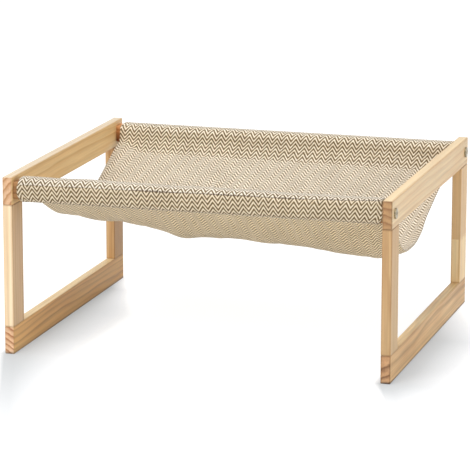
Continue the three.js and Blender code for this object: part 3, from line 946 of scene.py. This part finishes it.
def smooth_piece(name, vertices, faces):
    """A piece with smooth shading, whose faces all face outwards. Vertices are in mm."""
    mesh = bpy.data.meshes.new(name)
    mesh.from_pydata((np.array(vertices) * MM).tolist(), [], faces)
    piece = bpy.data.objects.new(name, mesh)
    bpy.context.scene.collection.objects.link(piece)
    only(piece)
    bpy.ops.object.mode_set(mode="EDIT")
    bpy.ops.mesh.select_all(action="SELECT")
    bpy.ops.mesh.normals_make_consistent(inside=False)
    bpy.ops.object.mode_set(mode="OBJECT")
    bpy.ops.object.shade_smooth()
    return piece


def thick_layer(name, points, facing, flat_places):
    """A closed mesh from a grid: two faces of cloth and a rounded edge."""
    count = points[..., 0].size
    grid = np.arange(count).reshape(points.shape[:2])
    around = np.concatenate([grid[0], grid[1:, -1], grid[-1, -2::-1], grid[-2:0:-1, 0]])
    # The way out of the cloth at its edges. The weave goes on round them, by a quarter turn
    # to the rim and another to the back
    outward, turned = np.zeros_like(points), np.zeros_like(flat_places)
    for axis in (0, 1):
        lines, out_lines, turned_lines = (
            np.moveaxis(values, axis, 0) for values in (points, outward, turned))
        for edge, way in ((0, 1), (-1, -1)):
            out_lines[edge] += lines[edge] - lines[edge + 2 * way]
            turned_lines[edge, :, axis] = -way * LAYER * math.pi / 4
    outward = outward.reshape(-1, 3)[around]
    outward /= np.linalg.norm(outward, axis=1, keepdims=True)
    vertices = np.concatenate([
        (points + facing * LAYER / 2).reshape(-1, 3), (points - facing * LAYER / 2).reshape(-1, 3),
        points.reshape(-1, 3)[around] + 0.5 * outward])
    flats = np.concatenate([
        flat_places.reshape(-1, 2), (flat_places + 2 * turned).reshape(-1, 2),
        (flat_places + turned).reshape(-1, 2)[around]]) * MM

    corners = [grid[:-1, :-1], grid[1:, :-1], grid[1:, 1:], grid[:-1, 1:]]
    front = np.stack(corners, axis=-1).reshape(-1, 4)
    rim = 2 * count + np.arange(len(around))
    after, rim_after = np.roll(around, -1), np.roll(rim, -1)
    faces = np.concatenate([
        np.stack([front, front[:, ::-1] + count], axis=1).reshape(-1, 4),
        np.stack([around, after, rim_after, rim, rim, rim_after, after + count, around + count],
                 axis=1).reshape(-1, 4)])
    piece = smooth_piece(name, vertices, faces.tolist())
    uv = piece.data.uv_layers.new(name="UVMap")
    corner_points = np.zeros(len(piece.data.loops), int)
    piece.data.loops.foreach_get("vertex_index", corner_points)
    uv.data.foreach_set("uv", flats[corner_points].ravel())
    return piece


layers, grids = {}, {}
for name in ("sling_upper_layer", "sling_lower_layer"):
    points, facing, flat_places, usual = layer_grid(name == "sling_upper_layer")
    points = draw_in_sides(shape_hems(points, facing, flat_places, usual), flat_places)
    layers[name] = thick_layer(name, points, facing, flat_places)
    grids[name] = (points + facing * LAYER / 2, facing, usual)
    print(name, "faces:", len(layers[name].data.polygons), "cut length in mm:", round(usual, 1))

# %% [markdown]
# Herringbone is a twill whose slant turns back every few threads, so its dark
# and pale yarns make rows of zigzags. The pattern is drawn thread by thread:
# the cloth is divided into columns as wide as one yarn, each column shows a
# dark float and a pale float in turn, and each column starts a little higher
# or lower than the one beside it. Here a zigzag is 14.6 mm wide with ten
# yarns to each slant, and the rows are 6.5 mm apart. The slants are steeper
# than halfway, so a zigzag is taller than a row. Sewing pulled the columns a
# little out of square, and the lean grows with the distance from a seam.

# %% Herringbone cloth
ZIGZAG_WIDTH, ROW_PITCH, STEEPNESS = 14.6, 6.5, 1.34
YARN = ZIGZAG_WIDTH / 20
SEAM_STITCH, SEAM_DIP, PAINTED_DIP_SHADE = 3.4, (0.3, 1.3), (0.3, 0.25, 0.24)
REAR_WALL = 11.0
# How far pale each yarn is over a dark float and a pale float, and how high each float is
PALE_SHARE = [(0.0, 0.0), (0.44, 0.0), (0.52, 1.0), (0.93, 1.0), (1.0, 0.0)]
FLOAT_HEIGHT = [(0.0, 0.25), (0.23, 1.0), (0.47, 0.25), (0.73, 1.0), (1.0, 0.25)]
CLOTHS = {
    # layer: start of the weave, rows where the lean begins and ends, places along the bar and the
    # lean at them, painted light through the weave, tints of painted light and shade in front,
    # behind, between
    "upper": ((9.6, 2.1), (280.0, 560.0), (0.0, 524.0, -30.0, -34.0), 0.08,
              (1.05, 1.1, 1.21), (1.18, 1.22, 1.29), (1.15, 1.19, 1.29)),
    "lower": ((0.0, 0.0), (0.0, 60.0), (346.0, 431.0, -5.7, 8.1), 0.17,
              (0.92, 0.91, 0.88), (0.92, 0.91, 0.88), (1.19, 1.16, 1.04))}


def weave(add, in_mm, start, lean_rows, lean):
    """The numbers of the yarn and the row at a place, the shares of them passed, and its Y."""
    # The weave is never quite straight
    drift = add("TexNoise", in_mm, Scale=0.022, Detail=1.0).outputs["Color"]
    drift = add("VectorMath SUBTRACT", drift, (0.5, 0.5, 0.5))
    drift = add("VectorMath MULTIPLY", drift, (2.4, 2.8, 0))
    drifted = add("SeparateXYZ", add("VectorMath ADD", in_mm, drift)).outputs
    u, v = (add("Math ADD", drifted[k], start[k]) for k in (0, 1))
    u = add("Math MULTIPLY_ADD", add("MapRange", v, *lean_rows), add("MapRange", u, *lean), u)
    yarns = add("Math DIVIDE", u, YARN)
    column = add("Math FLOOR", yarns)
    middle = add("Math MULTIPLY_ADD", column, YARN, YARN / 2)
    slant = add("Math PINGPONG", middle, ZIGZAG_WIDTH / 2)
    rows = add("Math DIVIDE", add("Math MULTIPLY_ADD", slant, STEEPNESS, v), ROW_PITCH)
    return (column, add("Math FLOOR", rows), add("Math FRACT", yarns), add("Math FRACT", rows),
            drifted[1])


def seam_dip_shade(add, along_seam, from_seam):
    """Where the stitches of the seam pull the edge of the cloth into small dips, darkened by
    painted shade.
    """
    half = SEAM_STITCH / 2
    stitch = add("Math PINGPONG", along_seam, half)
    dip = add("Math MULTIPLY", add("MapRange", from_seam, *SEAM_DIP, 1.0, 0.0),
              add("MapRange", stitch, 0.3 * half, 0.6 * half, 0.4, 1.0))
    return add("Math MULTIPLY", dip, add("MapRange", along_seam, 60.0, 210.0, 0.25, 1.0))


def herringbone(name, cut_length, start, lean_rows, lean, painted_through_light, *tints):
    """Woven cloth that follows the flat coordinates of its layer. Lengths are in mm."""
    material, add = new_material(name)
    front_light_and_shade, rear_light_and_shade, sag_light_and_shade = ((*tint, 1) for tint in tints)
    in_mm = add("VectorMath MULTIPLY", add("TexCoord").outputs["UV"], (1000, 1000, 0))
    column, row, in_column, in_row, across_bed = weave(add, in_mm, start, lean_rows, lean)
    off_middle = add("Math SUBTRACT", in_column, 0.5)
    round_yarn = add("Math MULTIPLY_ADD", add("Math MULTIPLY", off_middle, off_middle), -3.2, 1.0)
    height = add("Math MULTIPLY", round_yarn, add("ValToRGB", in_row, stops=FLOAT_HEIGHT))
    fluff = add("TexNoise", in_mm, Scale=3.0, Detail=3.0)
    height = add("Math MULTIPLY_ADD", fluff, 0.35, height)

    # Spun yarn is uneven in tone from float to float
    each = add("TexWhiteNoise 2D", add("CombineXYZ", column, row))
    dark = add("Mix RGBA", each, colour("#5f4b2e"), colour("#7f6945"))
    pale = add("Mix RGBA", each, colour("#e2d0b2"), colour("#f0e3cc"))
    # Between the tunnels a painted light, standing for light through the weave, fills the dark
    # yarns
    to_rear_seam = add("Math SUBTRACT", cut_length, across_bed)
    from_seam = add("Math MINIMUM", to_rear_seam, across_bed)
    from_rear_wall = add("Math SUBTRACT", to_rear_seam, REAR_WALL)
    in_sag = add("MapRange", add("Math MINIMUM", from_rear_wall, across_bed), 42.0, 58.0)
    dark = add("Mix RGBA", add("Math MULTIPLY", in_sag, painted_through_light), dark, pale)
    yarn = add("Mix RGBA", add("ValToRGB", in_row, stops=PALE_SHARE), dark, pale)
    # Painted shade darkens the deep places of the weave, tints of painted light and shade differ
    # between the tunnels and the sag, and the cloth is cloudy in tone
    at_rear = add("MapRange", across_bed, 0.4 * cut_length, 0.6 * cut_length)
    tint = add("Mix RGBA", at_rear, front_light_and_shade, rear_light_and_shade)
    broad = add("TexNoise", in_mm, Scale=0.03, Detail=2.0)
    for factor in (add("MapRange", height, 0.1, 1.0, 0.84, 1.04),
                   add("MapRange", broad, 0.3, 0.7, 0.95, 1.04),
                   add("Mix RGBA", in_sag, tint, sag_light_and_shade)):
        yarn = add("VectorMath MULTIPLY", yarn, factor)
    along_seam = add("SeparateXYZ", in_mm).outputs[0]
    # Painted shade in the dips along the seam
    yarn = tinted(add, yarn, seam_dip_shade(add, along_seam, from_seam), PAINTED_DIP_SHADE)
    end_with(add, height, 0.0003, 0.6,
             Base_Color=yarn, Roughness=add("MapRange", fluff, 0, 1, 0.82, 0.95),
             Sheen_Weight=0.25, Sheen_Roughness=0.5, Specular_IOR_Level=0.3)
    return material


for layer, numbers in CLOTHS.items():
    name = f"sling_{layer}_layer"
    cloth = herringbone("woven_herringbone_" + layer, grids[name][-1], *numbers)
    hand_over(layers[name], "hammock_cloth", cloth)
print("zigzags across the sling:", round(CLOTH_WIDTH / ZIGZAG_WIDTH, 1))

# %% [markdown]
# The stitching is strong cream thread, in stitches about 3 mm long. One
# stitch is a short thread that dips into the cloth at both ends. It is
# drawn with few faces, because there are about a thousand of them.

# %% Stitch along a line
STITCH_PITCH, STITCH_LENGTH, THREAD_RADIUS, THREAD_SIDES = 4.0, 3.1, 0.27, 6
STITCH_HEIGHT, STITCH_DIP = 0.16, 1.7
# Rings of points along a stitch: place in stitch lengths, and width
STITCH_RINGS = [(-0.5, 0.35), (-0.36, 1.0), (0.0, 1.0), (0.36, 1.0), (0.5, 0.35)]


def stitch_row(line, facing, first):
    """Vertices, in mm, and faces of the stitches along a line. First is its first number."""
    lengths = path_lengths(line)
    vertices, faces = [], []
    for middle in np.arange(STITCH_PITCH, lengths[-1] - STITCH_PITCH, STITCH_PITCH):
        start = first + len(vertices)
        for share, wide in STITCH_RINGS:
            at = middle + share * STITCH_LENGTH
            point, ahead = at_places(line, lengths, [at, at + 0.5])
            run = (ahead - point) / np.linalg.norm(ahead - point)
            up = at_places(facing, lengths, at)
            up /= np.linalg.norm(up)
            side = np.cross(run, up)
            centre = point + up * (STITCH_HEIGHT - STITCH_DIP * share * share)
            for turn_by in np.arange(THREAD_SIDES) * math.tau / THREAD_SIDES:
                vertices.append(centre + THREAD_RADIUS * wide * (
                    side * math.cos(turn_by) + up * math.sin(turn_by)))
        end = first + len(vertices)
        for ring in range(start, end - THREAD_SIDES, THREAD_SIDES):
            for k in range(THREAD_SIDES):
                a, b = ring + k, ring + (k + 1) % THREAD_SIDES
                faces.append([a, b, b + THREAD_SIDES, a + THREAD_SIDES])
        faces.append(list(range(start + THREAD_SIDES - 1, start - 1, -1)))
        faces.append(list(range(end - THREAD_SIDES, end)))
    return vertices, faces


# %% Sew the tunnels and the free sides
TUNNEL_STITCH_Y = 204.3


def crossing(grid_values, y_values, target):
    """Values of a grid, row by row, where the cloth first passes a place in Y."""
    found = []
    for values, y in zip(grid_values, y_values):
        k = int(np.argmax(y > target))
        found.append(between((values[k - 1], values[k]), (target - y[k - 1]) / (y[k] - y[k - 1])))
    return np.array(found)


cotton, add = new_material("twisted_cotton_thread")
twist = add("TexWave", add("TexCoord").outputs["Object"], Scale=900.0, Distortion=2.0,
            bands_direction="DIAGONAL")
tone = add("ValToRGB", twist, stops=[(0.0, colour("#b7a283")), (1.0, colour("#dccbb0"))])
end_with(add, twist, 0.00008, 0.6, Base_Color=tone, Roughness=0.7, Sheen_Weight=0.2)

for name, (outer, facing, usual) in grids.items():
    lines = []
    for d in (HEM_STITCH, CLOTH_WIDTH - HEM_STITCH):
        i = int(np.argmin(np.abs(stations - d)))
        lines.append((outer[i, 4:-4], facing[i, 4:-4]))
    for y in (-TUNNEL_STITCH_Y, TUNNEL_STITCH_Y):
        lines.append([crossing(values, outer[..., 1], y)[6:-6] for values in (outer, facing)])
    vertices, faces = [], []
    for line, line_facing in lines:
        more_vertices, more_faces = stitch_row(line, line_facing, len(vertices))
        vertices += more_vertices
        faces += more_faces
    piece = smooth_piece(name.replace("layer", "stitching"), vertices, faces)
    piece.data.materials.append(cotton)
    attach(piece, "root")
    print(piece.name, "faces:", len(piece.data.polygons))
